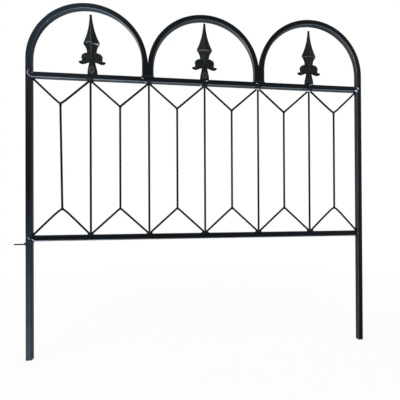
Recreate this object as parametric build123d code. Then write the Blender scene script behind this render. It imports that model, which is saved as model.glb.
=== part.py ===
from build123d import *
from math import cos, radians, sin, sqrt, tan
import os

# A welded steel border fence panel: square tube bent into three arches, wire infill, cast spears.
# X runs along the panel, Y through it and Z up, in millimetres. The origin lies on the flat
# outer face of the right post, at the height where the ground comes to.

# The frame of square tube
panel_width = 610.0
arch_count = 3
tube_size = 10.0
tube_corner = 1.6
tube_wall = 0.9
leg_in_ground = 100.0
bottom_rail_height = 205.6
top_rail_height = 484.7
outer_arch_leg = 21.9
middle_arch_leg = 16.3

# The wire infill
wire_diameter = 3.6
bays_per_arch = 2
upper_slope = 41.2
lower_slope = 42.5
upper_bend_radius = 3.0
lower_bend_radius = 4.5
chevron_clearance = 0.2

# The joining loop on the left post, which takes the leg of the next panel
loop_wire = 3.0
loop_clearance = 0.6
loop_below_rail = 10.0

# The blade of the cast spear, with heights above the top rail
spear_height = 105.0
tip_width = 4.0
tip_round = 1.6
tip_taper = 35.0
slim_height = 87.5
slim_width = 7.4
flank_height = 72.5
flank_width = 14.6
belt_height = 53.0
belt_band = 3.4
belt_width = 27.6
belt_depth = 10.4
waist_height = 45.0
waist_width = 18.4
neck_height = 38.8
neck_width = 16.2
neck_depth = 8.6
root_height = 28.6
root_width = 11.0

# The two drooping leaves
leaf_thickness = 7.2
leaf_bevel = 2.2
leaf_brow = 14.0
leaf_brow_height = 37.0
leaf_shoulder = 17.9
leaf_shoulder_height = 31.2
leaf_pinch = 17.2
leaf_pinch_height = 25.4
leaf_reach = 22.8
leaf_tip_height = 22.9
leaf_tip_band = 1.6
leaf_belly = 16.6
leaf_belly_height = 18.4
leaf_root_height = 22.0
# How far out of the leaf's middle each level of its dome lies, and how much of the bevel it has
leaf_dome = [(0.15, 0.0), (0.55, 0.25), (0.85, 0.6), (1.0, 1.0)]

# The bell-shaped foot of the spear, as deep as the rail that it stands on
collar_height = 20.0
collar_width = 10.6
collar_depth = 8.2
bell_height = 11.2
bell_width = 14.4
base_width = 16.2
bell_rounding = 0.4
oval_width = 7.6
oval_height = 10.6
oval_centre = 7.1
oval_rim = 1.4
oval_relief = 0.3

# Places that follow from the sizes above
left_edge = -panel_width
left_post_x = left_edge + tube_size / 2
right_post_x = -tube_size / 2
foot_z = -leg_in_ground
bottom_rail_z = foot_z + bottom_rail_height
top_rail_z = foot_z + top_rail_height
infill_low = bottom_rail_z + tube_size / 2
infill_high = top_rail_z - tube_size / 2
rail_top = top_rail_z + tube_size / 2
arch_pitch = panel_width / arch_count
arch_radius = (arch_pitch - tube_size) / 2
bay_count = arch_count * bays_per_arch
wire_pitch = (right_post_x - left_post_x) / (2 * bay_count)
wire_radius = wire_diameter / 2
tube_diagonal = tube_size * sqrt(2) - 2 * tube_corner * (sqrt(2) - 1)
loop_radius = (tube_diagonal + loop_clearance + loop_wire) / 2


def square_tube():
    """The section of the frame: a square tube with rounded corners."""
    bore = tube_size - 2 * tube_wall
    outside = RectangleRounded(tube_size, tube_size, tube_corner)
    return outside - RectangleRounded(bore, bore, tube_corner - tube_wall)


def arch(number, leg, left_end, right_end):
    """One tube bent over a half circle, with straight legs down to the given heights."""
    centre_x = left_edge + arch_pitch * (number + 0.5)
    left_x = centre_x - arch_radius
    right_x = centre_x + arch_radius
    spring_z = rail_top + leg
    up = Line((left_x, left_end), (left_x, spring_z))
    bend = CenterArc((centre_x, spring_z), arch_radius, 180, -180)
    down = Line((right_x, spring_z), (right_x, right_end))
    start = Plane(origin=(left_x, 0, left_end), z_dir=(0, 0, 1))
    return sweep(start * square_tube(), path=Plane.XZ * (up + bend + down))


def rail(height):
    """A straight tube that fills the space between the two posts."""
    start = Plane(origin=(left_edge + tube_size, 0, height), z_dir=(1, 0, 0))
    return extrude(start * square_tube(), panel_width - 2 * tube_size)


def wire_x(step):
    """The place of a wire, counted in half bays from the left post."""
    return left_post_x + step * wire_pitch


def straight_wire(x, low, high):
    """A straight upright wire with square ends."""
    return Pos(x, 0, low) * extrude(Circle(wire_radius), high - low)


def chevron_rise(slope, bend_radius):
    """The height of a chevron's rounded point, at the wire's middle, from the rail its feet are on."""
    rounding = bend_radius * (1 / cos(radians(slope)) - 1)
    return wire_pitch * tan(radians(slope)) - rounding


def arm_ends(bay):
    """The two upright planes that a chevron's arms are cut off at: a post's face, or just off a wire."""
    off_wire = wire_radius + chevron_clearance
    left = wire_x(2 * bay - 2) + off_wire
    right = wire_x(2 * bay) - off_wire
    if bay == 1:
        left = left_edge + tube_size
    if bay == bay_count:
        right = -tube_size
    return left, right


def chevron(bay, rail_face, up, slope, bend_radius):
    """A bent wire whose arms aim at the foot of the wires on both sides, cut flush on the rail's face."""
    x = wire_x(2 * bay - 1)
    corner_z = rail_face + up * wire_pitch * tan(radians(slope))
    end_z = rail_face - up * wire_diameter
    half = wire_pitch + wire_diameter / tan(radians(slope))
    line = Plane.XZ * FilletPolyline(
        (x - half, end_z), (x, corner_z), (x + half, end_z), radius=bend_radius)
    bar = sweep(Plane(origin=line @ 0, z_dir=line % 0) * Circle(wire_radius), path=line)
    left, right = arm_ends(bay)
    bar = split(bar, bisect_by=Plane(origin=(x, 0, rail_face), z_dir=(0, 0, up)), keep=Keep.TOP)
    bar = split(bar, bisect_by=Plane(origin=(left, 0, 0), z_dir=(1, 0, 0)), keep=Keep.TOP)
    return split(bar, bisect_by=Plane(origin=(right, 0, 0), z_dir=(-1, 0, 0)), keep=Keep.TOP)


def joining_loop():
    """A closed wire ring that lies flat against the left post's outer face."""
    centre_x = left_edge - loop_radius - loop_wire / 2
    return Pos(centre_x, 0, bottom_rail_z - loop_below_rail) * Torus(loop_radius, loop_wire / 2)


def diamond(height, width, depth):
    """A four-sided section of the spear, with a ridge in front and behind."""
    corners = [(width / 2, 0), (0, depth / 2), (-width / 2, 0), (0, -depth / 2)]
    return Pos(0, 0, height) * make_face(Polyline(*corners, close=True))


def spear_blade():
    """The blade: a slim point that flares to a flat belt, then narrows to the root."""
    thinning = (belt_depth - tip_width) / (belt_width - tip_width)
    tip_z = spear_height - tip_round
    upper = [(belt_height + belt_band, belt_width), (flank_height, flank_width),
             (slim_height, slim_width), (tip_z, tip_width)]
    blade = loft([diamond(z, w, tip_width + (w - tip_width) * thinning) for z, w in upper])
    tip = extrude(diamond(tip_z, tip_width, tip_width), tip_round, taper=tip_taper)
    belt = extrude(diamond(belt_height, belt_width, belt_depth), belt_band)
    lower = [(root_height, root_width, neck_depth), (neck_height, neck_width, neck_depth),
             (waist_height, waist_width, (neck_depth + belt_depth) / 2),
             (belt_height, belt_width, belt_depth)]
    return blade + tip + belt + loft([diamond(*section) for section in lower])


def leaf_outline(inset):
    """The right leaf: a domed shoulder, a flicked tip and a hollow below, drawn in by an inset."""
    top = neck_height - inset
    reach = leaf_reach - 2 * inset
    shoulder = Spline((0, top), (neck_width / 2, top), (leaf_brow - inset / 2, leaf_brow_height - inset),
                      (leaf_shoulder - inset, leaf_shoulder_height),
                      (leaf_pinch - inset, leaf_pinch_height), (reach, leaf_tip_height - inset / 4))
    tip = Line(shoulder @ 1, (reach, leaf_tip_height - leaf_tip_band + inset / 4))
    belly = Spline(tip @ 1, (leaf_belly, leaf_belly_height + inset),
                   (collar_width / 2, leaf_root_height + inset), (0, leaf_root_height + inset))
    return make_face(shoulder + tip + belly + Line(belly @ 1, shoulder @ 0))


def leaves():
    """Both leaves, domed from the parting line towards their front and back."""
    half = leaf_thickness / 2
    levels = [(-share * half, inset) for share, inset in reversed(leaf_dome)]
    levels += [(share * half, inset) for share, inset in leaf_dome]
    sections = [Plane.XZ.offset(level) * leaf_outline(leaf_bevel * inset) for level, inset in levels]
    leaf = loft(sections, ruled=True)
    return leaf + mirror(leaf, about=Plane.YZ)


def collar_section(height, width, depth):
    """A section of the bell-shaped foot, with well-rounded corners."""
    return Pos(0, 0, height) * RectangleRounded(width, depth, bell_rounding * min(width, depth))


def bell():
    """The foot of the spear, which widens down to its seat on the rail."""
    return loft([collar_section(0, base_width, tube_size),
                 collar_section(bell_height, bell_width, (tube_size + collar_depth) / 2),
                 collar_section(collar_height, collar_width, collar_depth),
                 collar_section(root_height, collar_width, collar_depth)])


def medallion():
    """The raised oval rim on the front and back of the bell."""
    outer = Ellipse(oval_width / 2, oval_height / 2)
    ring = outer - Ellipse(oval_width / 2 - oval_rim, oval_height / 2 - oval_rim)
    return extrude(Plane.XZ * Pos(0, oval_centre) * ring, tube_size / 2 + oval_relief, both=True)


def finial(x):
    """A spear finial seated on the top rail, over a full-height wire."""
    return Pos(x, 0, rail_top) * (spear_blade() + leaves() + bell() + medallion())


def frame_pieces():
    """The tubes of the frame, and the loop on the left post."""
    return {
        "left_arch_post": arch(0, outer_arch_leg, foot_z, rail_top),
        "middle_arch": arch(1, middle_arch_leg, rail_top, rail_top),
        "right_arch_post": arch(2, outer_arch_leg, rail_top, foot_z),
        "top_rail": rail(top_rail_z),
        "bottom_rail": rail(bottom_rail_z),
        "joining_loop": joining_loop(),
    }


def infill_pieces():
    """The straight and bent wires between the rails."""
    pieces = {}
    for number in range(1, bay_count):
        pieces[f"upright_wire_{number}"] = straight_wire(wire_x(2 * number), infill_low, infill_high)
    low = infill_low + chevron_rise(lower_slope, lower_bend_radius) + wire_radius
    high = infill_high - chevron_rise(upper_slope, upper_bend_radius) - wire_radius
    for number in range(1, bay_count + 1):
        x = wire_x(2 * number - 1)
        pieces[f"centre_wire_{number}"] = straight_wire(x, low, high)
        pieces[f"upper_chevron_{number}"] = chevron(
            number, infill_high, -1, upper_slope, upper_bend_radius)
        pieces[f"lower_chevron_{number}"] = chevron(
            number, infill_low, 1, lower_slope, lower_bend_radius)
    return pieces


def finials():
    """A spear in each arch."""
    sides = ["left", "middle", "right"]
    return {f"finial_{side}": finial(wire_x(bays_per_arch * (2 * number + 1)))
            for number, side in enumerate(sides)}


os.makedirs("parts", exist_ok=True)
for name, piece in {**frame_pieces(), **infill_pieces(), **finials()}.items():
    export_step(piece, f"parts/{name}.step")
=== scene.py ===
import math
import bmesh
import bpy
import numpy as np
from mathutils import Matrix, Vector


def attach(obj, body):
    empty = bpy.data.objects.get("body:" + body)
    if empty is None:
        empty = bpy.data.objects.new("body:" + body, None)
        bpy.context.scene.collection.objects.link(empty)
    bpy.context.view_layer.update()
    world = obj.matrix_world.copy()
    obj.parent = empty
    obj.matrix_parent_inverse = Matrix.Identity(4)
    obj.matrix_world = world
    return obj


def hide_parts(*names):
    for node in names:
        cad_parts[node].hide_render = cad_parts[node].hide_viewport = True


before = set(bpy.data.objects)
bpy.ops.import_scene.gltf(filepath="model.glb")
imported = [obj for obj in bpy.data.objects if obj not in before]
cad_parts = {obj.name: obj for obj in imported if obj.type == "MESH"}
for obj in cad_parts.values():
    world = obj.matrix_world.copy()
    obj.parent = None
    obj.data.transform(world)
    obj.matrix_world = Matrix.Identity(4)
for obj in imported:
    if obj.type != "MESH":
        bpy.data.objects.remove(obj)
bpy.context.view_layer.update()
scene = bpy.context.scene
scene.view_settings.view_transform = "Standard"
print("frame loaded:", len(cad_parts), "nodes")

# The sizes of the part that the pieces below are set on, in metres
panel = {
    "width": 0.610,
    "tube": 0.010,
    "corner": 0.0016,
    "arches": 3,
    "footZ": -0.100,
    "bottomRailZ": 0.1056,
    "topRailZ": 0.3847,
    "wire": 0.0036,
    "bays": 6,
}

# The heights of the rails' faces, the posts' inner faces and the pitch of the arches follow
halfTube = panel["tube"] / 2
railTop = panel["topRailZ"] + halfTube
underTop = panel["topRailZ"] - halfTube
onBottom = panel["bottomRailZ"] + halfTube
postFaces = (-panel["width"] + panel["tube"], -panel["tube"])
archPitch = panel["width"] / panel["arches"]


def wireX(step):
    # Wires stand half a bay apart between the middles of the two posts
    leftPost = -panel["width"] + halfTube
    pitch = (panel["width"] - panel["tube"]) / (2 * panel["bays"])
    return leftPost + step * pitch


def feed(tree, socket, value):
    # An input is linked to another node's output, or takes a value of its own
    if isinstance(value, bpy.types.NodeSocket):
        tree.links.new(value, socket)
    elif socket.type == "RGBA":
        socket.default_value = (*value, 1)
    else:
        socket.default_value = value


def mathNode(tree, operation, *values, clamp=False):
    node = tree.nodes.new("ShaderNodeMath")
    node.operation = operation
    node.use_clamp = clamp
    for socket, value in zip(node.inputs, values):
        feed(tree, socket, value)
    return node.outputs[0]


def product(tree, first, *others):
    for other in others:
        first = mathNode(tree, "MULTIPLY", first, other)
    return first


def rangeNode(tree, value, low, high, bottom=0.0, top=1.0):
    # A straight ramp, held at its ends: low gives bottom and high gives top
    node = tree.nodes.new("ShaderNodeMapRange")
    labels = ("Value", "From Min", "From Max", "To Min", "To Max")
    for label, setting in zip(labels, (value, low, high, bottom, top)):
        feed(tree, node.inputs[label], setting)
    return node.outputs["Result"]


def noiseNode(tree, vector, scale, detail):
    node = tree.nodes.new("ShaderNodeTexNoise")
    for label, setting in (("Vector", vector), ("Scale", scale), ("Detail", detail)):
        feed(tree, node.inputs[label], setting)
    return node.outputs["Fac"]


def vectorNode(tree, operation, first, second):
    node = tree.nodes.new("ShaderNodeVectorMath")
    node.operation = operation
    feed(tree, node.inputs[0], first)
    feed(tree, node.inputs[1], second)
    return node.outputs


def axesOf(tree, vector):
    # A vector's shares along the axes, as outputs called X, Y and Z
    node = tree.nodes.new("ShaderNodeSeparateXYZ")
    feed(tree, node.inputs[0], vector)
    return node.outputs


def faceNormal(tree):
    return tree.nodes.new("ShaderNodeNewGeometry").outputs["Normal"]


def mixColour(tree, factor, first, second):
    node = tree.nodes.new("ShaderNodeMix")
    node.data_type = "RGBA"
    sockets = {socket.identifier: socket for socket in node.inputs}
    for label, value in (("Factor_Float", factor), ("A_Color", first), ("B_Color", second)):
        feed(tree, sockets[label], value)
    return next(socket for socket in node.outputs if socket.identifier == "Result_Color")


def makeGroup(name, inputs, outputs):
    # A node group whose sockets are given as names with kinds. Its inputs as they are seen from
    # inside and its outputs are given back with it
    group = bpy.data.node_groups.new(name, "ShaderNodeTree")
    for side, sockets in (("INPUT", inputs), ("OUTPUT", outputs)):
        for label, kind in sockets.items():
            group.interface.new_socket(name=label, in_out=side, socket_type="NodeSocket" + kind)
    start = group.nodes.new("NodeGroupInput")
    end = group.nodes.new("NodeGroupOutput")
    return group, start.outputs, end.inputs


def placeGroup(tree, group, values):
    node = tree.nodes.new("ShaderNodeGroup")
    node.node_tree = group
    for label, value in values.items():
        feed(tree, node.inputs[label], value)
    return node.outputs


skinPattern = {
    "cloudContrast": 3.0,
    "cloudDetail": 4,
    "peelDetail": 2,
    "roughest": 0.8,         # cloud times peel, where the paint is as rough as it gets
}


def paintSkinGroup():
    # Sprayed paint: broad clouds shift it between two tones, and a fine orange peel lifts it
    group, given, result = makeGroup(
        "paintSkin",
        {"Vector": "Vector", "Cool Tone": "Color", "Warm Tone": "Color", "Cloud Scale": "Float",
         "Peel Scale": "Float", "Smooth": "Float", "Rough": "Float"},
        {"Color": "Color", "Roughness": "Float", "Height": "Float"})
    clouds = noiseNode(group, given["Vector"], given["Cloud Scale"], skinPattern["cloudDetail"])
    contrast = skinPattern["cloudContrast"]
    spread = mathNode(group, "MULTIPLY_ADD", clouds, contrast, (1 - contrast) / 2, clamp=True)
    peel = noiseNode(group, given["Vector"], given["Peel Scale"], skinPattern["peelDetail"])
    rough = rangeNode(group, product(group, spread, peel), 0.0, skinPattern["roughest"],
                      given["Smooth"], given["Rough"])
    feed(group, result["Color"], mixColour(group, spread, given["Cool Tone"], given["Warm Tone"]))
    feed(group, result["Roughness"], rough)
    feed(group, result["Height"], peel)
    return group


dustPatches = {
    "scale": 160.0,
    "detail": 3,
    "steepest": 0.5,         # the normal's Z, above which dust begins to lie
}


def dustGroup():
    # Dust lies thinly on what faces up, broken into patches
    group, given, result = makeGroup(
        "settledDust",
        {"Vector": "Vector", "Base": "Color", "Dust": "Color", "Amount": "Float"},
        {"Color": "Color"})
    patches = noiseNode(group, given["Vector"], dustPatches["scale"], dustPatches["detail"])
    upward = mathNode(group, "SUBTRACT", axesOf(group, faceNormal(group))["Z"],
                      dustPatches["steepest"], clamp=True)
    amount = product(group, upward, patches, given["Amount"])
    feed(group, result["Color"], mixColour(group, amount, given["Base"], given["Dust"]))
    return group


# Ramps of the painted corner highlights and the painted underside reflection: where each begins
# and ends, and then what it gives there, if that isn't 0 and 1. X and Z stand for places in metres
edgeRamps = {
    "turned": (0.993, 0.96),                 # the normal's Y squared, where the front is left
    "notAside": (0.3, 0.55),                 # and before the side is reached
    "innerHalf": (0.474, 0.464),             # shares of an arch's pitch, away from its middle
    "rightSide": (0.1, -0.2),                # the normal's X
    "towardsMiddle": (-0.03, -0.2),          # the same times the share of the pitch
    "high": (0.415, 0.455, 0.25, 1.0),       # Z, from the arches' feet up
    "leftArch": (-0.405, -0.42, 0.32, 0.13),  # X, from the second arch to the first
    "leftward": (-0.35, -0.6, 0.45, 1.0),    # X
    "below": (-0.02, -0.3),                  # the normal's Z
    "alongArch": (0.45, -0.4, 0.15, 1.0),    # the normal's X
    "straight": (0.41, 0.395),               # Z, from the arches' feet down
    "wholeSide": (-0.1, -0.42, 0.13, 0.6),   # X
    "underside": (-0.6, -0.95),              # the face's own normal, its Z
    "underLeftward": (0.0, -0.6, 0.3, 1.0),  # X
    "streaks": (0.3, 0.6, 0.5, 1.0),         # the noise
}
edgeStreaks = {"scale": 30.0, "detail": 3}


def paintedHighlightGroup():
    # Pale blue grey painted highlights on a tube's corners, and a painted reflection on its underside.
    # The frame lies in one upright plane, so a corner is where the normal leans half way to Y
    group, given, result = makeGroup(
        "paintedHighlight",
        {"Vector": "Vector", "Soft Normal": "Vector", "Base": "Color", "Corner Highlight Tone": "Color",
         "Gleam Tone": "Color", "Corner Highlight Amount": "Float", "Under Reflection Tone": "Color",
         "Under Reflection Amount": "Float"},
        {"Color": "Color"})
    ramps = edgeRamps
    place = axesOf(group, given["Vector"])
    soft = axesOf(group, given["Soft Normal"])
    # The line lies where the rounded normal has just left the front: its Y squared is 0.55 to 0.96
    square = mathNode(group, "MULTIPLY", soft["Y"], soft["Y"])
    turned = rangeNode(group, square, *ramps["turned"])
    corner = product(group, turned, rangeNode(group, square, *ramps["notAside"]))
    # Inside an arch the normal leans back towards the middle of the arch's own pitch. Its right
    # side gets the brightest painted highlight, and the posts below the arches the faintest
    count = mathNode(group, "DIVIDE", place["X"], archPitch)
    off = mathNode(group, "SUBTRACT", mathNode(group, "FRACT", count), 0.5)
    # The outer half of each leg, where two arches meet, has no line
    inner = rangeNode(group, mathNode(group, "ABSOLUTE", off), *ramps["innerHalf"])
    lean = rangeNode(group, product(group, off, inner, soft["X"]), *ramps["towardsMiddle"])
    high = rangeNode(group, place["Z"], *ramps["high"])
    gleam = product(group, rangeNode(group, soft["X"], *ramps["rightSide"]), high, lean)
    leftSide = product(group, lean, rangeNode(group, place["X"], *ramps["leftArch"]), high)
    inward = mathNode(group, "MAXIMUM", gleam, leftSide)
    # Along an arch the line below brightens from its left foot to its right one, and on the
    # straight tubes it is as bright as at the right foot
    below = product(group, rangeNode(group, soft["Z"], *ramps["below"]),
                    rangeNode(group, place["X"], *ramps["leftward"]))
    bright = mathNode(group, "MAXIMUM", rangeNode(group, soft["X"], *ramps["alongArch"]),
                      rangeNode(group, place["Z"], *ramps["straight"]))
    line = mathNode(group, "MAXIMUM", product(group, below, bright), inward)
    noise = noiseNode(group, given["Vector"], edgeStreaks["scale"], edgeStreaks["detail"])
    line = product(group, corner, line, rangeNode(group, noise, *ramps["streaks"]))
    # The right inner side as a whole gets a paler painted highlight too, most of all on the left arch
    side = product(group, turned, gleam, rangeNode(group, place["X"], *ramps["wholeSide"]))
    mask = product(group, mathNode(group, "MAXIMUM", line, side), given["Corner Highlight Amount"])
    tone = mixColour(group, gleam, given["Corner Highlight Tone"], given["Gleam Tone"])
    edged = mixColour(group, mask, given["Base"], tone)
    # Faces turned down get a painted reflection of the bright ground, more of it to the left
    downward = rangeNode(group, axesOf(group, faceNormal(group))["Z"], *ramps["underside"])
    under = product(group, downward, rangeNode(group, place["X"], *ramps["underLeftward"]),
                    given["Under Reflection Amount"])
    feed(group, result["Color"], mixColour(group, under, edged, given["Under Reflection Tone"]))
    return group


# Ramps of the painted sheen, written in the same way
sheenRamps = {
    "aside": (1.2, 0.8),                     # shares of the bloom's side
    # Painted shade: faces to the right get about half of the painted sheen
    "rightFaces": (0.3, 0.8, 1.0, 0.55),     # the normal's X: faces to the right have about half
    "streaks": (0.3, 0.7, 0.75, 1.0),        # the noise
}
sheenStreaks = {"scale": 22.0, "detail": 3}


def sheenGroup():
    # A painted sheen, a pale blue painted reflection round one place: full up to its core, a share
    # of its reach, gone at its reach, and no further to the left and right than its side
    group, given, result = makeGroup(
        "paintedSheen",
        {"Vector": "Vector", "Base": "Color", "Sheen": "Color", "Place": "Vector",
         "Reach": "Float", "Side": "Float", "Core": "Float"},
        {"Color": "Color"})
    away = vectorNode(group, "DISTANCE", given["Vector"], given["Place"])["Value"]
    fade = rangeNode(group, mathNode(group, "DIVIDE", away, given["Reach"]), 1.0, given["Core"])
    noise = noiseNode(group, given["Vector"], sheenStreaks["scale"], sheenStreaks["detail"])
    streaks = rangeNode(group, noise, *sheenRamps["streaks"])
    facing = rangeNode(group, axesOf(group, faceNormal(group))["X"], *sheenRamps["rightFaces"])
    offset = axesOf(group, vectorNode(group, "SUBTRACT", given["Vector"], given["Place"])["Vector"])
    aside = mathNode(group, "DIVIDE", mathNode(group, "ABSOLUTE", offset["X"]), given["Side"])
    amount = product(group, fade, streaks, facing, rangeNode(group, aside, *sheenRamps["aside"]))
    feed(group, result["Color"], mixColour(group, amount, given["Base"], given["Sheen"]))
    return group


# The left spear leans to the right
spearLean = {
    "height": 0.105,
    "foot": 0.0036,          # how far to the right its foot stands
    "tip": 0.0005,           # and its tip
    "stretch": 0.0018,       # how much taller its upper half is
    "crease": 12.0,          # degrees between two faces, from which their edge is sharp
    "merge": 0.000002,       # points closer than this are one
}

# Ramps of the painted highlights on the spears' edges, written in the same way
edgeHighlightRamps = {
    "parted": (0.995, 0.96),                 # the dot product of the two normals
    "leftward": (-0.3, -0.5, 0.35, 1.0),     # X
    "leftSpear": (-0.4, -0.41),              # X, left of which the lean counts
    "leftHalf": (-0.5035, -0.5045, 0.0, 0.003),  # X, and how much higher the belt's line runs
    "rightHalf": (-0.4995, -0.4975),         # X, where the left spear's line gets thick
    "rightEnd": (-0.4, -0.45),               # X, where that ends, short of the middle spear
    "thickness": (0.0, 1.0, 0.0005, 0.0013),  # half of the line's, where it's thin and thick
    "lineEdge": (0.0004, 0.0),               # metres beyond the line
    "lineStrength": (0.4, 0.6, 0.12, 0.5),   # the noise
    "ovalOutside": (1.15, 1.0),              # shares of the ellipse
    "ovalInside": (0.6, 0.75),
    "ovalLeftward": (-0.1, -0.5, 0.08, 0.6),  # X
    "ridge": (0.0006, 0.0003),               # metres from the spear's middle
    "ridgeFoot": (railTop + 0.036, railTop + 0.04),  # Z
    "ridgeTip": (railTop + 0.09, railTop + 0.08),
    "patches": (0.35, 0.6, 0.3, 1.0),        # the noise
}
edgeHighlightMarks = {
    "patchScale": 150.0,
    "patchDetail": 2,
    "lineScale": 90.0,
    "lineDetail": 1,
    "ovalWide": 0.0038,      # half sizes of the raised oval
    "ovalHigh": 0.0053,
    "ridge": 0.6,            # how strong the ridge's line is
}
spearPitch = (panel["width"] - panel["tube"]) / panel["arches"]


def paintedEdgeHighlightGroup():
    # Painted highlights on the cast edges: paler where the rounded normal parts from the face's own,
    # by one less their dot product, and along the upper edge of the belt round the spear
    group, given, result = makeGroup(
        "paintedEdgeHighlight",
        {"Vector": "Vector", "Soft Normal": "Vector", "Base": "Color", "Edge Highlight Tone": "Color",
         "Belt Highlight Tone": "Color", "Belt Height": "Float", "Oval Height": "Float"},
        {"Color": "Color"})
    ramps, marks = edgeHighlightRamps, edgeHighlightMarks
    place = axesOf(group, given["Vector"])
    # The left spear leans, and its painted highlights lean with it
    shift = rangeNode(group, place["Z"], railTop, railTop + spearLean["height"],
                      spearLean["foot"], spearLean["tip"])
    shift = product(group, rangeNode(group, place["X"], *ramps["leftSpear"]), shift)
    alongX = mathNode(group, "SUBTRACT", place["X"], shift)
    dot = vectorNode(group, "DOT_PRODUCT", given["Soft Normal"], faceNormal(group))["Value"]
    noise = noiseNode(group, given["Vector"], marks["patchScale"], marks["patchDetail"])
    edgeShine = product(group, rangeNode(group, dot, *ramps["parted"]),
                   rangeNode(group, noise, *ramps["patches"]),
                   rangeNode(group, alongX, *ramps["leftward"]))
    edged = mixColour(group, edgeShine, given["Base"], given["Edge Highlight Tone"])
    # On the left half of the left spear the belt's painted highlight line runs along the upper edge,
    # 3 mm higher, and on its right half it is thickest
    rise = mathNode(group, "SUBTRACT", place["Z"], given["Belt Height"])
    rise = mathNode(group, "SUBTRACT", rise, rangeNode(group, alongX, *ramps["leftHalf"]))
    thick = product(group, rangeNode(group, alongX, *ramps["rightHalf"]),
                    rangeNode(group, alongX, *ramps["rightEnd"]))
    beyond = mathNode(group, "SUBTRACT", mathNode(group, "ABSOLUTE", rise),
                      rangeNode(group, thick, *ramps["thickness"]))
    noise = noiseNode(group, given["Vector"], marks["lineScale"], marks["lineDetail"])
    strength = mathNode(group, "MAXIMUM", thick, rangeNode(group, noise, *ramps["lineStrength"]))
    band = product(group, rangeNode(group, beyond, *ramps["lineEdge"]), strength)
    # The raised oval on each foot gets a paler painted highlight ring, whose place is a share of the
    # ellipse drawn about the middle of every spear
    count = mathNode(group, "DIVIDE", mathNode(group, "ADD", alongX, halfTube), spearPitch)
    aside = mathNode(group, "SUBTRACT", mathNode(group, "FRACT", count), 0.5)
    across = product(group, aside, spearPitch / marks["ovalWide"])
    along = mathNode(group, "DIVIDE", mathNode(group, "SUBTRACT", place["Z"], given["Oval Height"]),
                     marks["ovalHigh"])
    oval = mathNode(group, "SQRT", mathNode(
        group, "ADD", product(group, across, across), product(group, along, along)))
    ring = product(group, rangeNode(group, oval, *ramps["ovalOutside"]),
                   rangeNode(group, oval, *ramps["ovalInside"]),
                   rangeNode(group, alongX, *ramps["ovalLeftward"]))
    edged = mixColour(group, ring, edged, given["Edge Highlight Tone"])
    # The left spear's ridges, in front and behind, get thin pale painted highlight lines down its
    # blade
    aside = mathNode(group, "ABSOLUTE", mathNode(group, "SUBTRACT", alongX, wireX(2)))
    blade = product(group, rangeNode(group, place["Z"], *ramps["ridgeFoot"]),
                    rangeNode(group, place["Z"], *ramps["ridgeTip"]))
    ridge = product(group, rangeNode(group, aside, *ramps["ridge"]), blade, marks["ridge"])
    edged = mixColour(group, ridge, edged, given["Edge Highlight Tone"])
    feed(group, result["Color"], mixColour(group, band, edged, given["Belt Highlight Tone"]))
    return group


paintSkin = paintSkinGroup()
paintedEdgeHighlight = paintedEdgeHighlightGroup()
settledDust = dustGroup()
paintedHighlight = paintedHighlightGroup()
paintedSheen = sheenGroup()

# Each finish has two tones, the scales of its clouds and peel, its least and greatest roughness,
# the height of the peel, the radius of its edges, and tones and amounts for the painted highlights
# on its corners and the painted reflection on its undersides
finishes = {
    "framePaint": {
        "cool": (0.0032, 0.0056, 0.0085), "warm": (0.003, 0.0032, 0.0036), "cloud": 7.0,
        "peel": 700.0, "smooth": 0.34, "rough": 0.5, "lift": 0.00003, "specular": 0.055,
        "edge": 0.0004, "dust": 0.06, "corner": (0.42, 0.51, 0.61), "cornerAmount": 1.0,
        "under": (0.042, 0.06, 0.078), "underAmount": 1.0,
    },
    "wirePaint": {
        "cool": (0.0045, 0.006, 0.0065), "warm": (0.006, 0.0058, 0.0055), "cloud": 14.0,
        "peel": 1100.0, "smooth": 0.42, "rough": 0.6, "lift": 0.00003, "specular": 0.06,
        "edge": 0.0003, "dust": 0.05, "corner": (0.02, 0.022, 0.024), "cornerAmount": 0.3,
        "under": (0.02, 0.024, 0.028), "underAmount": 0.3,
    },
    "castPaint": {
        "cool": (0.0032, 0.0058, 0.007), "warm": (0.004, 0.0042, 0.004), "cloud": 45.0,
        "peel": 500.0, "smooth": 0.34, "rough": 0.6, "lift": 0.00012, "specular": 0.1,
        "edge": 0.0007, "dust": 0.08, "corner": (0.02, 0.026, 0.03), "cornerAmount": 0.0,
        "under": (0.02, 0.026, 0.03), "underAmount": 0.5,
    },
    "weldPaint": {
        "cool": (0.0035, 0.006, 0.009), "warm": (0.005, 0.0055, 0.006), "cloud": 220.0,
        "peel": 900.0, "smooth": 0.22, "rough": 0.4, "lift": 0.00008, "specular": 0.12,
        "edge": 0.0004, "dust": 0.05, "corner": (0.05, 0.06, 0.07), "cornerAmount": 0.5,
        "under": (0.03, 0.04, 0.05), "underAmount": 0.5,
    },
    # Bare weld metal, made pale and blue as painted glints
    "bareWeldGlint": {
        "cool": (0.42, 0.52, 0.68), "warm": (0.55, 0.6, 0.68), "cloud": 300.0,
        "peel": 1200.0, "smooth": 0.15, "rough": 0.4, "lift": 0.0001, "specular": 0.5,
        "edge": 0.0002, "dust": 0.0, "corner": (0.3, 0.34, 0.4), "cornerAmount": 0.3,
        "under": (0.06, 0.07, 0.09), "underAmount": 0.8,
    },
}

# What all finishes share
shared = {
    "dust": (0.2, 0.2, 0.19),
    # The gleam is a painted highlight
    "gleam": (0.4, 0.41, 0.41),    # the line inside the right of each arch
    "samples": 6,                  # of the rounded normals
    "wide": 4,                     # the rounding that finds the painted corner highlights, in times the finish's edge
}

# The spears' edges and belts get paler painted highlights
spearHighlights = {
    "tone": (0.1, 0.125, 0.14),
    "belt": (0.24, 0.28, 0.33),
    "beltZ": railTop + 0.0535,
    "ovalZ": railTop + 0.0071,
}

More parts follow.
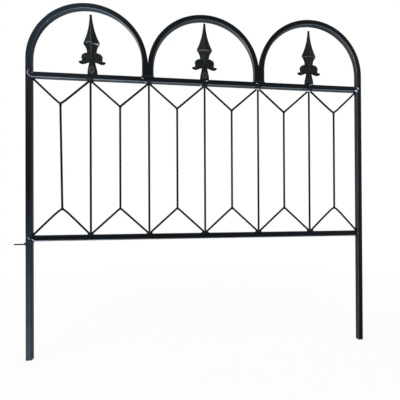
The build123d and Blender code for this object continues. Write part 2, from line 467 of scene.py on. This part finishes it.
# The painted sheen on the frame is strongest at the left foot, and a fainter one lies on the left arch
sheens = [
    {"tone": (0.05, 0.076, 0.11), "place": (wireX(0), 0.0, panel["footZ"]), "reach": 0.287,
     "side": 0.0048, "core": 0.0},
    {"tone": (0.008, 0.016, 0.024), "place": (-0.545, 0.0, 0.485), "reach": 0.16,
     "side": 0.11, "core": 0.25},
]


def roundedNormal(tree, radius):
    node = tree.nodes.new("ShaderNodeBevel")
    node.samples = shared["samples"]
    node.inputs["Radius"].default_value = radius
    return node.outputs["Normal"]


def paintMaterial(name, look):
    material = bpy.data.materials.new(name)
    material.use_nodes = True
    tree = material.node_tree
    shader = tree.nodes["Principled BSDF"]
    place = tree.nodes.new("ShaderNodeTexCoord").outputs["Object"]
    skin = placeGroup(tree, paintSkin, {
        "Vector": place, "Cool Tone": look["cool"], "Warm Tone": look["warm"],
        "Cloud Scale": look["cloud"], "Peel Scale": look["peel"],
        "Smooth": look["smooth"], "Rough": look["rough"]})
    colour = skin["Color"]
    if name == "framePaint":
        # The frame gets the painted sheen, a painted reflection
        for sheen in sheens:
            colour = placeGroup(tree, paintedSheen, {
                "Vector": place, "Base": colour, "Sheen": sheen["tone"], "Place": sheen["place"],
                "Reach": sheen["reach"], "Side": sheen["side"], "Core": sheen["core"]})["Color"]
    fine = roundedNormal(tree, look["edge"])
    # The spears get painted highlights on their edges, belts, ovals and ridges
    if name == "castPaint":
        colour = placeGroup(tree, paintedEdgeHighlight, {
            "Vector": place, "Soft Normal": fine, "Base": colour, "Edge Highlight Tone": spearHighlights["tone"],
            "Belt Highlight Tone": spearHighlights["belt"], "Belt Height": spearHighlights["beltZ"],
            "Oval Height": spearHighlights["ovalZ"]})["Color"]
    # Every finish gets painted highlights on its corners and a painted reflection on its undersides
    colour = placeGroup(tree, paintedHighlight, {
        "Vector": place, "Soft Normal": roundedNormal(tree, look["edge"] * shared["wide"]),
        "Base": colour, "Corner Highlight Tone": look["corner"], "Gleam Tone": shared["gleam"],
        "Corner Highlight Amount": look["cornerAmount"], "Under Reflection Tone": look["under"],
        "Under Reflection Amount": look["underAmount"]})["Color"]
    colour = placeGroup(tree, settledDust, {
        "Vector": place, "Base": colour, "Dust": shared["dust"], "Amount": look["dust"]})["Color"]
    bump = tree.nodes.new("ShaderNodeBump")
    bump.inputs["Distance"].default_value = look["lift"]
    feed(tree, bump.inputs["Height"], skin["Height"])
    feed(tree, bump.inputs["Normal"], fine)
    feed(tree, shader.inputs["Base Color"], colour)
    feed(tree, shader.inputs["Roughness"], skin["Roughness"])
    feed(tree, shader.inputs["Normal"], bump.outputs["Normal"])
    shader.inputs["Specular IOR Level"].default_value = look["specular"]
    return material


materials = {name: paintMaterial(name, look) for name, look in finishes.items()}


def finishOf(node):
    if node.startswith("finial"):
        return "castPaint"
    if "wire" in node or "chevron" in node or "loop" in node:
        return "wirePaint"
    return "framePaint"


for node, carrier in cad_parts.items():
    carrier.data.materials.clear()
    carrier.data.materials.append(materials[finishOf(node)])
print("materials given to", len(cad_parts), "nodes")


def placeMesh(name, mesh, finish):
    # A smooth piece that belongs to the part's one body
    mesh.polygons.foreach_set("use_smooth", np.ones(len(mesh.polygons), dtype=bool))
    mesh.materials.clear()
    mesh.materials.append(materials[finish])
    mesh.update()
    piece = bpy.data.objects.new(name, mesh)
    scene.collection.objects.link(piece)
    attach(piece, "root")
    return piece


def addMesh(name, vertices, faces, finish):
    mesh = bpy.data.meshes.new(name)
    mesh.from_pydata(np.asarray(vertices).reshape(-1, 3).tolist(), [], faces)
    return placeMesh(name, mesh, finish)


def ringFaces(copies, along, around):
    # Quads of tubes closed both ways, one tube after another
    tube, i, j = np.meshgrid(np.arange(copies), np.arange(along), np.arange(around), indexing="ij")
    nextI, nextJ = (i + 1) % along, (j + 1) % around
    base = tube * along * around
    corners = [base + i * around + j, base + nextI * around + j,
               base + nextI * around + nextJ, base + i * around + nextJ]
    return np.stack(corners, axis=-1).reshape(-1, 4).tolist()


def tubeFaces(along, around):
    # Quads between the rings of a tube with open ends, one ring of points after another
    i, j = np.meshgrid(np.arange(along - 1), np.arange(around), indexing="ij")
    nextJ = (j + 1) % around
    corners = [i * around + j, (i + 1) * around + j, (i + 1) * around + nextJ, i * around + nextJ]
    return np.stack(corners, axis=-1).reshape(-1, 4)


def barFaces(along, around):
    # The same with a face over each end
    last = (along - 1) * around
    ends = [list(range(around)), [last + n for n in reversed(range(around))]]
    return tubeFaces(along, around).tolist() + ends


def squarePath(halfSize, corner, steps):
    # A square with round corners, as a superellipse walked at even steps of angle. A point's
    # distance from the middle is |cos / half| and |sin / half|, each raised to a power and added
    # up, and raised to minus one over that power. The power grows as the corner shrinks
    angle = np.linspace(0, 2 * np.pi, steps, endpoint=False)
    outward = np.stack([np.cos(angle), np.sin(angle)], axis=-1)
    power = 2 + 2 * halfSize / corner
    reach = (np.abs(outward / halfSize) ** power).sum(axis=1, keepdims=True) ** (-1 / power)
    return reach * outward, outward


beads = {
    "bead": 0.0012,          # the bead's radius
    "ripple": 0.22,          # how much each ripple swells it
    "ripplePitch": 0.0016,
    "slow": 0.15,            # and how much two slower waves do
    "quick": 0.1,
    "shift": 1.7,            # how far the waves have moved on at the next bead, in radians
    "along": 96,
    "around": 10,
}


def beadRings(name, places, axis):
    # A bead is a round tube carried along a square tube's outline, across the axis: its radius
    # swells with the ripples that a weld leaves, as the size of a sine of the way round, and
    # with two slower sines that make it uneven
    path, outward = squarePath(halfTube, panel["corner"], beads["along"])
    shift = np.arange(len(places))[:, None] * beads["shift"]
    step = np.linalg.norm(np.roll(path, -1, 0) - path, axis=1)
    run = np.concatenate([[0], np.cumsum(step)[:-1]])
    ripples = np.round(step.sum() / beads["ripplePitch"])
    wave = run / step.sum() * 2 * np.pi
    swell = (1 + beads["ripple"] * np.abs(np.sin(wave * ripples / 2 + shift))
             + beads["slow"] * np.sin(2 * wave + 2 * shift)
             + beads["quick"] * np.sin(5 * wave + 3 * shift))
    radius = beads["bead"] * swell
    turn = np.linspace(0, 2 * np.pi, beads["around"], endpoint=False)
    out = path[None, :, None, :] + (
        radius[:, :, None, None] * np.cos(turn)[None, None, :, None] * outward[None, :, None, :])
    grid = np.zeros((len(places), beads["along"], beads["around"], 3))
    first, second, third = {"x": (1, 2, 0), "z": (0, 1, 2)}[axis]
    grid[..., first], grid[..., second] = out[..., 0], out[..., 1]
    grid[..., third] = radius[:, :, None] * np.sin(turn)[None, None, :]
    grid += np.array(places)[:, None, None, :]
    addMesh(name, grid, ringFaces(len(places), beads["along"], beads["around"]), "weldPaint")


blobs = {
    "rings": 10,
    "spokes": 16,
    "lumps": 0.16,           # how uneven each drop is
    "ringLumps": 0.7,        # the share of that in rings round it
    "shift": 2.3,            # how far the waves have moved on at the next drop, in radians
    "ringShift": 1.9,        # and the rings, by this times the shift
}


def dropAt(x, z, drop, side=1):
    # A drop is written as its middle off the place (x, z), its three half sizes and its turn
    # about Y in radians. With side -1 it is mirrored from left to right
    out, depth, rise, wide, deep, high, turn = drop
    return (x + side * out, depth, z + rise, wide, deep, high, side * turn)


def weldDrops(name, drops, finish="weldPaint"):
    # Each drop is an ellipsoid whose radius is stirred by a sine of the angle round it and a
    # cosine of the angle down it, and which is then turned about Y
    drops = np.array(drops)
    places, sizes, turns = drops[:, None, :3], drops[:, None, 3:6], drops[:, 6:]
    rings, spokes = blobs["rings"], blobs["spokes"]
    tilt = np.linspace(0, np.pi, rings + 1)[1:-1]
    spin = np.linspace(0, 2 * np.pi, spokes, endpoint=False)
    t, p = np.meshgrid(tilt, spin, indexing="ij")
    ball = np.stack([np.sin(t) * np.cos(p), np.sin(t) * np.sin(p), np.cos(t)], axis=-1)
    shift = np.arange(len(drops))[:, None, None] * blobs["shift"]
    stir = 1 + blobs["lumps"] * (
        np.sin(3 * p + shift) * np.sin(t)
        + blobs["ringLumps"] * np.cos(4 * t + blobs["ringShift"] * shift))
    body = (ball * stir[..., None] * sizes[:, None]).reshape(len(drops), -1, 3)
    caps = np.array([[0, 0, 1.0], [0, 0, -1.0]]) * sizes
    shape = np.concatenate([body, caps], axis=1)
    turned = [shape[..., 0] * np.cos(turns) + shape[..., 2] * np.sin(turns), shape[..., 1],
              shape[..., 2] * np.cos(turns) - shape[..., 0] * np.sin(turns)]
    vertices = np.stack(turned, axis=-1) + places
    count = (rings - 1) * spokes + 2
    last = (rings - 2) * spokes
    k = np.arange(spokes)
    nextK = (k + 1) % spokes
    topCap = np.stack([np.full(spokes, count - 2), k, nextK], axis=-1)
    bottomCap = np.stack([np.full(spokes, count - 1), last + nextK, last + k], axis=-1)
    parts = (tubeFaces(rings - 1, spokes), topCap, bottomCap)
    faces = []
    for start in range(0, len(drops) * count, count):
        for part in parts:
            faces += (part + start).tolist()
    addMesh(name, vertices, faces, finish)


railZs = (panel["topRailZ"], panel["bottomRailZ"])
beadRings("rail_end_welds", [(x, 0, z) for x in postFaces for z in railZs], "x")
forkXs = [-panel["width"] + archPitch * n for n in range(1, panel["arches"])]
legs = [(x + side * halfTube, 0, railTop) for x in forkXs for side in (-1, 1)]
beadRings("arch_leg_welds", legs, "z")
print("weld beads built")

# Wires meet a rail in a cluster at each full-height wire, under the top rail and on the bottom
# one, and the top rail's lower front corner is built up over each cluster
clusterDrops = {
    "top": (0, -0.0006, -0.0006, 0.0052, 0.003, 0.0021, 0),
    "bottom": (0, -0.0004, 0.0006, 0.0052, 0.003, 0.0021, 0),
    "bottomLarge": (0, -0.0004, 0.0006, 0.0066, 0.003, 0.0032, 0),
    "topFront": (0, -0.0042, 0.0012, 0.0056, 0.0019, 0.0031, 0),
    "large": 3,              # so many of the bottom ones, from the right, are large
}
clusterXs = [wireX(2 * n) for n in range(1, panel["bays"])]
drops = [dropAt(x, underTop, clusterDrops["top"]) for x in clusterXs]
drops += [dropAt(x, onBottom, clusterDrops["bottom"]) for x in clusterXs[:-clusterDrops["large"]]]
drops += [dropAt(x, onBottom, clusterDrops["bottomLarge"]) for x in clusterXs[-clusterDrops["large"]:]]
drops += [dropAt(x, underTop, clusterDrops["topFront"]) for x in clusterXs]
weldDrops("wire_cluster_welds", drops)

# The first middle wire leans
leaningWire = {
    "lean": 0.0028,          # how far its foot stands to the right
    "around": 16,
}

# Each chevron's point is joined to its middle wire by a small drop. The last upper point stands
# higher, so its drop is taller
pointDrops = {
    "upper": (0, 0, -0.0442, 0.0024, 0.0022, 0.0021, 0),
    "upperLast": (0, 0, -0.0432, 0.0022, 0.0021, 0.0034, 0),
    "lower": (0, 0, 0.0456, 0.0024, 0.0022, 0.0021, 0),
}
pointXs = [wireX(2 * n - 1) for n in range(1, panel["bays"] + 1)]
drops = [dropAt(x, underTop, pointDrops["upper"]) for x in pointXs[:-1]]
drops += [dropAt(pointXs[-1], underTop, pointDrops["upperLast"])]
drops += [dropAt(pointXs[0] + leaningWire["lean"], onBottom, pointDrops["lower"])]
drops += [dropAt(x, onBottom, pointDrops["lower"]) for x in pointXs[1:]]
weldDrops("chevron_point_welds", drops)

# The rails' ends are built up with weld on the posts' front corners. These drops are counted
# outward from the post's inner face and up from the rail's middle
cornerDrops = [
    (0.0008, -0.0042, -0.0012, 0.0026, 0.0015, 0.0058, 0),
    (0.0022, -0.0046, 0.0032, 0.0012, 0.0009, 0.0026, 0.5),
    (0.0028, -0.0045, -0.004, 0.0013, 0.001, 0.003, -0.5),
    (-0.0012, -0.0016, -0.0056, 0.0024, 0.003, 0.0018, 0.7),
]
weldDrops("rail_corner_welds", [
    dropAt(face, z, drop, side)
    for side, face in zip((-1, 1), postFaces) for z in railZs for drop in cornerDrops])

# Neighbouring arch legs are joined by a web in their fork, and by a line of weld down the seam.
# These drops are counted from the seam and from the rail's top
webDrops = [
    (0, -0.0002, 0.016, 0.002, 0.0034, 0.006, 0),
    (0, -0.0002, 0.0245, 0.004, 0.0034, 0.0068, 0),
]
seamDrop = (0.0004, -0.0047, 0.0014, 0.0024, 0.0009, 0.0018, 0)
weldDrops("fork_webs", [dropAt(x, railTop, drop) for x, drop in zip(forkXs, webDrops)])
weldDrops("leg_seam_welds", [dropAt(x, railTop, seamDrop) for x in forkXs])

# Bare weld metal, where the paint has not covered the weld, lightened into painted glints. Each line
# is a run of thin drops through points (x, z) on the front of the frame: a drop is a little longer
# than its step and lies along it
glintLines = {
    "front": -0.0054,
    "thickness": 0.00045,
    "depth": 0.0008,
    "reach": 0.6,            # half a drop's length, as a share of its step
    "lines": [
        [(-0.6042, 0.3918), (-0.6058, 0.3885), (-0.6058, 0.3853), (-0.6037, 0.382),
         (-0.6002, 0.3811), (-0.5978, 0.379)],
        [(-0.5986, 0.3884), (-0.5976, 0.3868)],
        [(-0.6054, 0.1076), (-0.6022, 0.104)],
        [(-0.6008, 0.1052), (-0.5951, 0.1022)],
        [(-0.1059, 0.387), (-0.0979, 0.3908)],
        [(-0.3037, 0.3862), (-0.2992, 0.387)],
        [(-0.4171, 0.3875), (-0.4135, 0.3844)],
        [(-0.2098, 0.3866), (-0.2058, 0.3856)],
        [(-0.0106, 0.1082), (-0.0088, 0.1046)],
    ],
}
# Thicker drops of it, written like the others, but at their places on the panel
glintDrops = [
    (-0.0083, -0.0058, 0.3858, 0.0029, 0.0012, 0.0014, 0.78),
    (-0.0113, -0.0056, 0.3807, 0.0027, 0.0012, 0.0018, 0.85),
    (-0.1066, -0.0036, 0.3767, 0.0042, 0.001, 0.0013, 0.05),
    (-0.2062, -0.0036, 0.3765, 0.0038, 0.001, 0.0012, 0.0),
    (-0.3115, -0.0036, 0.3775, 0.0018, 0.0009, 0.0008, 0.5),
    (-0.4098, -0.0046, 0.3794, 0.0006, 0.0008, 0.0022, 2.4),
]
for line in glintLines["lines"]:
    ends = np.array(line)
    for (x, z), (dx, dz) in zip((ends[1:] + ends[:-1]) / 2, np.diff(ends, axis=0)):
        reach = glintLines["reach"] * math.hypot(dx, dz)
        glintDrops.append((x, glintLines["front"], z, glintLines["thickness"], glintLines["depth"],
                          reach, math.atan2(dx, dz)))
weldDrops("bare_weld_glints", glintDrops, "bareWeldGlint")
print("weld drops built")

chevrons = {
    "postRun": 0.045,        # from a chevron's point to the post's face
    "wireRun": 0.049,        # and to where its other arm meets the rail
    "upperRises": {1: 0.0412, 6: 0.0402},    # the points' distances from the rail
    "lowerRise": 0.0442,
    "upperBend": 0.0028,
    "lowerBend": 0.0042,
    "sunk": 0.0012,          # how far both arms run into what they are welded to
    "crowding": 1.6,         # how much closer the wire's rings stand near the point
    "along": 61,
    "around": 14,
}


def outerChevron(name, node, x, side, railFace, up, rise, bend, lean=0.0):
    # The wire's middle line is a soft V, a*x + b*sqrt(x*x + bend*bend), whose two slopes are chosen
    # so that one arm ends in the corner of rail and post and the other at the full-height wire.
    # A circle square to that line is carried along it
    near, far = chevrons["postRun"] + side * lean, chevrons["wireRun"] - side * lean
    reachNear, reachFar = (np.hypot(run, bend) - bend for run in (near, far))
    a, b = np.linalg.solve([[-near, reachNear], [far, reachFar]], [rise, rise])
    stretch = np.linspace(-1, 1, chevrons["along"])
    run = np.where(stretch < 0, near + chevrons["sunk"], far + chevrons["sunk"])
    across = np.sign(stretch) * np.abs(stretch) ** chevrons["crowding"] * run
    drop = rise - (a * across + b * (np.hypot(across, bend) - bend))
    slope = -(a + b * across / np.hypot(across, bend))
    length = np.hypot(1, slope)
    turn = np.linspace(0, 2 * np.pi, chevrons["around"], endpoint=False)
    radius = panel["wire"] / 2
    outX = across[:, None] - radius * np.cos(turn) * (slope / length)[:, None]
    outZ = drop[:, None] + radius * np.cos(turn) / length[:, None]
    outY = np.broadcast_to(radius * np.sin(turn), outX.shape)
    vertices = np.stack([x + lean + side * outX, outY, railFace + up * outZ], axis=-1)
    faces = barFaces(chevrons["along"], chevrons["around"])
    if side * up < 0:
        faces = [face[::-1] for face in faces]
    piece = addMesh(name, vertices, faces, "wirePaint")
    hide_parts(node)


for bay, side in ((1, 1), (panel["bays"], -1)):
    outerChevron(f"outer_upper_chevron_{bay}", f"upper_chevron_{bay}", wireX(2 * bay - 1), side,
                 underTop, -1, chevrons["upperRises"][bay], chevrons["upperBend"])
    outerChevron(f"outer_lower_chevron_{bay}", f"lower_chevron_{bay}", wireX(2 * bay - 1), side,
                 onBottom, 1, chevrons["lowerRise"], chevrons["lowerBend"],
                 leaningWire["lean"] if bay == 1 else 0.0)


def makeLeaningWire():
    # A round wire along a straight line between the points of the first bay's two chevrons
    head = np.array([wireX(1), 0, underTop - chevrons["upperRises"][1]])
    foot = np.array([wireX(1) + leaningWire["lean"], 0, onBottom + chevrons["lowerRise"]])
    turn = np.linspace(0, 2 * np.pi, leaningWire["around"], endpoint=False)
    ring = panel["wire"] / 2 * np.stack([np.cos(turn), np.sin(turn), 0 * turn], axis=-1)
    vertices = np.concatenate([head + ring, foot + ring])
    wire = addMesh("leaning_centre_wire_1", vertices, barFaces(2, leaningWire["around"]), "wirePaint")
    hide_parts("centre_wire_1")


makeLeaningWire()
print("outer chevrons and leaning wire built")


def makeLeaningSpear():
    # A copy of the left spear's solid with its points merged, which is sheared so that each point
    # moves right by the foot's shift less a share that grows with the height. The upper half is
    # also stretched, by a share that grows from its middle to its tip
    solid = bmesh.new()
    solid.from_mesh(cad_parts["finial_left"].data)
    bmesh.ops.remove_doubles(solid, verts=solid.verts, dist=spearLean["merge"])
    mesh = bpy.data.meshes.new("leaning_spear")
    solid.to_mesh(mesh)
    solid.free()
    points = np.empty(len(mesh.vertices) * 3, dtype=np.float32)
    mesh.vertices.foreach_get("co", points)
    points = points.reshape(-1, 3)
    share = (points[:, 2] - railTop) / spearLean["height"]
    points[:, 0] += spearLean["foot"] + (spearLean["tip"] - spearLean["foot"]) * share
    points[:, 2] += spearLean["stretch"] * np.clip(2 * share - 1, 0, 1)
    mesh.vertices.foreach_set("co", points.ravel())
    spear = placeMesh("leaning_spear", mesh, "castPaint")
    mesh.set_sharp_from_angle(angle=math.radians(spearLean["crease"]))
    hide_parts("finial_left")


makeLeaningSpear()
print("leaning spear built")

joiningRing = {
    "reach": 0.0194,         # how far it stands out from the post
    "wire": 0.0022,
    "height": 0.0956,
    "tilt": 0.098,           # its near side is higher by this share of the depth
    "along": 64,
    "around": 12,
}
ringDrops = [
    (-0.0006, -0.0012, 0, 0.0028, 0.0034, 0.0019, 0),
    (0.0002, -0.0046, 0.002, 0.0016, 0.0014, 0.0024, 0.9),
]


def makeRing():
    # A round wire carried along a circle that lies against the post and is tilted to the front:
    # the wire's own circle is spanned by the way outward and the upright, and each point drops
    # by its depth times the tilt
    radius = (joiningRing["reach"] - joiningRing["wire"]) / 2
    angle = np.linspace(0, 2 * np.pi, joiningRing["along"], endpoint=False)[:, None]
    turn = np.linspace(0, 2 * np.pi, joiningRing["around"], endpoint=False)[None, :]
    out = radius + joiningRing["wire"] / 2 * np.cos(turn)
    x = out * np.cos(angle) - panel["width"] - joiningRing["reach"] / 2
    y = out * np.sin(angle)
    z = joiningRing["height"] + joiningRing["wire"] / 2 * np.sin(turn) - joiningRing["tilt"] * y
    faces = ringFaces(1, joiningRing["along"], joiningRing["around"])
    ring = addMesh("joining_ring", np.stack([x, y, z], axis=-1), faces, "wirePaint")
    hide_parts("joining_loop")


makeRing()
weldDrops("ring_weld", [dropAt(-panel["width"], joiningRing["height"], drop) for drop in ringDrops])
print("joining ring built")

studio = {
    "floorTone": 0.9,
    "floorSize": 8.0,        # half of its width
    "floorGap": 0.0003,      # how far below the posts' feet it lies
    "worldTone": 0.75,
    "shadowShare": 0.12,
    "shadowNear": 0.35,      # where the floor's shadow begins to fade, from the panel's middle
    "shadowReach": 0.9,      # and where it ends
}
lightTarget = (-panel["width"] / 2, 0, 0.2)
lights = {
    "key": {"place": (-1.5, -1.2, 1.3), "size": (1.2, 1.2), "power": 14.0, "tone": (0.86, 0.94, 1.0)},
    "fill": {"place": (1.0, -1.4, 0.5), "size": (0.8, 1.2), "power": 6.0, "tone": (1.0, 0.97, 0.94)},
}


def seenMask(tree):
    # 1 for rays that come from the camera, off gloss or through glass, which see plain white
    paths = tree.nodes.new("ShaderNodeLightPath")
    both = mathNode(tree, "MAXIMUM", paths.outputs["Is Camera Ray"], paths.outputs["Is Glossy Ray"])
    return mathNode(tree, "MAXIMUM", both, paths.outputs["Is Transmission Ray"])


def makeWorld():
    world = bpy.data.worlds.new("studio")
    scene.world = world
    world.use_nodes = True
    tree = world.node_tree
    background = tree.nodes["Background"]
    feed(tree, background.inputs["Color"], (1, 1, 1))
    rise = product(tree, seenMask(tree), 1 - studio["worldTone"])
    feed(tree, background.inputs["Strength"], mathNode(tree, "ADD", rise, studio["worldTone"]))


def makeFloor():
    size, level = studio["floorSize"], panel["footZ"] - studio["floorGap"]
    mesh = bpy.data.meshes.new("floor")
    corners = [(-size, -size, level), (size, -size, level), (size, size, level), (-size, size, level)]
    mesh.from_pydata(corners, [], [(0, 1, 2, 3)])
    floor = bpy.data.objects.new("floor", mesh)
    scene.collection.objects.link(floor)
    material = bpy.data.materials.new("paleFloor")
    material.use_nodes = True
    tree = material.node_tree
    tree.nodes.remove(tree.nodes["Principled BSDF"])
    matt = tree.nodes.new("ShaderNodeBsdfDiffuse")
    feed(tree, matt.inputs["Color"], (studio["floorTone"],) * 3)
    glow = tree.nodes.new("ShaderNodeEmission")
    feed(tree, glow.inputs["Color"], (1, 1, 1))
    # The shadow's share fades out with distance, so that the far floor is plain white
    place = tree.nodes.new("ShaderNodeTexCoord").outputs["Object"]
    middle = (-panel["width"] / 2, 0, panel["footZ"])
    away = vectorNode(tree, "DISTANCE", place, middle)["Value"]
    glowShare = rangeNode(tree, away, studio["shadowNear"], studio["shadowReach"],
                          1 - studio["shadowShare"], 1.0)
    mix = tree.nodes.new("ShaderNodeMixShader")
    inputs = (product(tree, seenMask(tree), glowShare), matt.outputs[0], glow.outputs[0])
    for socket, value in zip(mix.inputs, inputs):
        feed(tree, socket, value)
    feed(tree, tree.nodes["Material Output"].inputs["Surface"], mix.outputs[0])
    mesh.materials.append(material)


def areaLight(name, lamp):
    data = bpy.data.lights.new(name, "AREA")
    data.shape = "RECTANGLE"
    data.size, data.size_y = lamp["size"]
    data.energy = lamp["power"]
    data.color = lamp["tone"]
    light = bpy.data.objects.new(name, data)
    scene.collection.objects.link(light)
    light.location = lamp["place"]
    aim = Vector(lightTarget) - Vector(lamp["place"])
    light.rotation_euler = aim.to_track_quat("-Z", "Y").to_euler()


# The view's turn, nod and roll are in radians, and its lens and sensor in millimetres
view = {
    "place": (-0.35269, -0.57351, 0.15802),
    "turn": 0.13022,
    "nod": 0.00543,
    "roll": -0.00494,
    "lens": 28.288,
    "sensor": 36,
    "shift": (-0.05, 0.0125),
    "near": 0.01,            # nothing closer than this is drawn
}


def makeCamera():
    # The axes of the camera follow from the turn, the nod and the roll
    turn, nod, roll = view["turn"], view["nod"], view["roll"]
    forward = Vector((math.sin(turn) * math.cos(nod), math.cos(turn) * math.cos(nod), math.sin(nod)))
    level = Vector((math.cos(turn), -math.sin(turn), 0))
    upright = level.cross(forward)
    right = level * math.cos(roll) + upright * math.sin(roll)
    up = upright * math.cos(roll) - level * math.sin(roll)
    data = bpy.data.cameras.new("camera")
    data.sensor_width = view["sensor"]
    data.lens = view["lens"]
    data.shift_x, data.shift_y = view["shift"]
    data.clip_start = view["near"]
    camera = bpy.data.objects.new("camera", data)
    scene.collection.objects.link(camera)
    camera.rotation_euler = Matrix((right, up, -forward)).transposed().to_euler()
    camera.location = view["place"]
    scene.camera = camera


makeWorld()
makeFloor()
for name, lamp in lights.items():
    areaLight(name, lamp)
makeCamera()
print("stage, lights and camera set")
